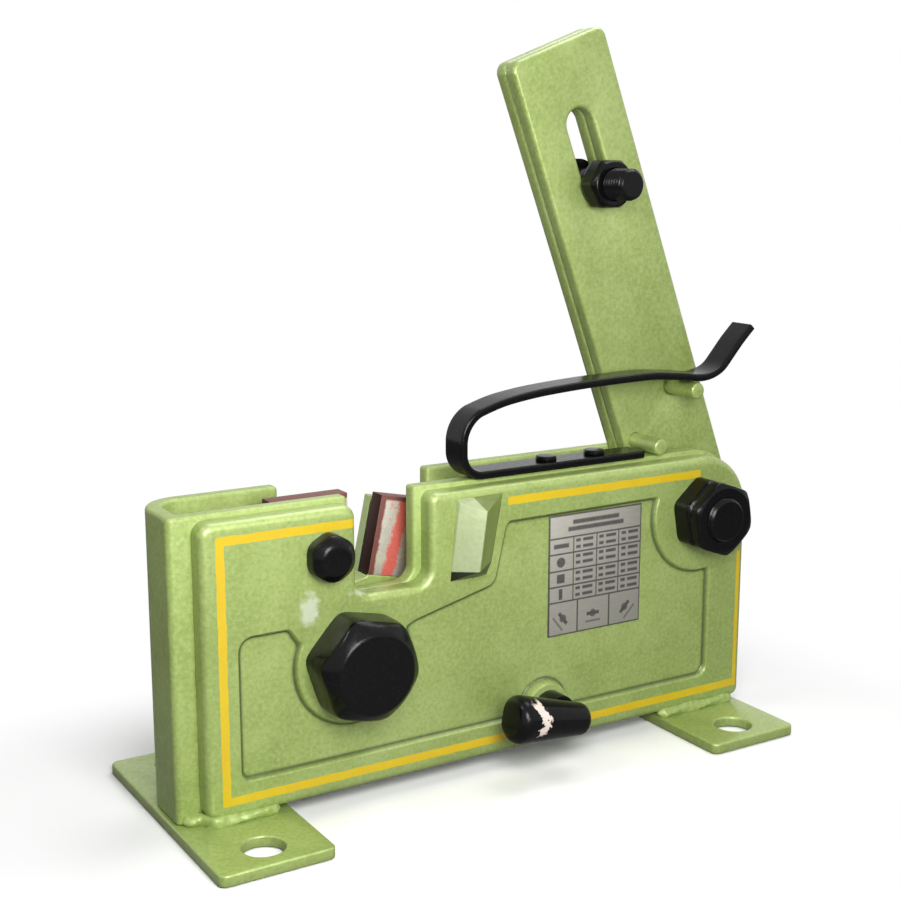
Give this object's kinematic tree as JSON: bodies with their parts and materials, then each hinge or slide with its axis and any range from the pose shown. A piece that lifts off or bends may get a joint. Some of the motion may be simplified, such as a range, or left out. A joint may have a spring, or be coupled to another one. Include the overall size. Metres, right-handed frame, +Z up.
{
  "type": "manual bar cutter",
  "caption": "Bench bar cutter: a toothed lever turns a geared jaw whose square blade shears bar against a fixed blade in a notched U-shaped frame on bolt-down feet.",
  "frame": {"origin": "centre of the four base bolt holes, on the surface the feet stand on", "axes": "+X along the front plate from the closed end to the lever, +Y from the front face to the rear, +Z up"},
  "size_m": [0.4284, 0.18, 0.4631],
  "materials": {
    "green_paint": "hammered metallic green paint",
    "black_paint": "gloss black paint",
    "blade_steel": "ground tool steel with worn red paint",
    "bare_steel": "bare turned steel",
    "bronze": "bronze bush",
    "label_metal": "printed aluminium plate"
  },
  "bodies": {
    "frame": {"frame_shell": "green_paint", "front_plate": "green_paint", "left_foot": "green_paint", "right_foot": "green_paint", "foot_welds": "green_paint", "bar_stop": "green_paint", "fixed_blade": "blade_steel", "fixed_blade_screw": "bare_steel", "fixed_blade_nut": "black_paint", "jaw_pivot_bolt": "black_paint", "jaw_pivot_washer": "black_paint", "jaw_pivot_nut": "black_paint", "jaw_spacer": "bare_steel", "lever_pivot_bolt": "black_paint", "lever_pivot_washer": "black_paint", "lever_pivot_nut": "black_paint", "lever_lock_nut": "black_paint", "lever_spacer": "bare_steel", "catch_base": "black_paint", "catch_bolt_left": "black_paint", "catch_bolt_right": "black_paint", "capacity_plate": "label_metal"},
    "jaw": {"jaw_arm": "green_paint", "jaw_bush": "bronze", "moving_blade": "blade_steel", "moving_blade_screw": "bare_steel"},
    "lever": {"lever_front_plate": "green_paint", "lever_rear_plate": "green_paint", "lever_bush": "bronze", "detent_pin": "green_paint", "stop_pin": "green_paint"},
    "handle_clamp": {"clamp_bolt": "black_paint", "clamp_washer": "black_paint", "clamp_nut": "black_paint"},
    "catch_arm": {"catch_arm": "black_paint"},
    "knob": {"knob_spindle": "black_paint", "knob_handle": "black_paint", "knob_collar": "bare_steel"}
  },
  "joints": [
    {"name": "lever_turn", "type": "hinge", "parent": "frame", "child": "lever", "pos_m": [0.169, 0, 0.147], "axis": [0, 1, 0], "range_deg": [0, 100]},
    {"name": "jaw_turn", "type": "hinge", "parent": "frame", "child": "jaw", "pos_m": [-0.0955, 0, 0.09], "axis": [0, 1, 0], "range_deg": [-29.2, 0]},
    {"name": "clamp_slide", "type": "slide", "parent": "lever", "child": "handle_clamp", "axis": [-0.3584, 0, 0.9336], "range_m": [0, 0.04]},
    {"name": "catch_lift", "type": "hinge", "parent": "frame", "child": "catch_arm", "pos_m": [-0.0175, -0.016, 0.2105], "axis": [0, -1, 0], "range_deg": [0, 5], "stiffness_Nm_per_rad": 60},
    {"name": "knob_turn", "type": "hinge", "parent": "frame", "child": "knob", "pos_m": [0.0415, -0.033, 0.035], "axis": [0, 1, 0], "range_deg": [-10, 150]}
  ],
  "couplings": [
    {"joint": "jaw_turn", "follows": "lever_turn", "ratio": -0.29167}
  ]
}
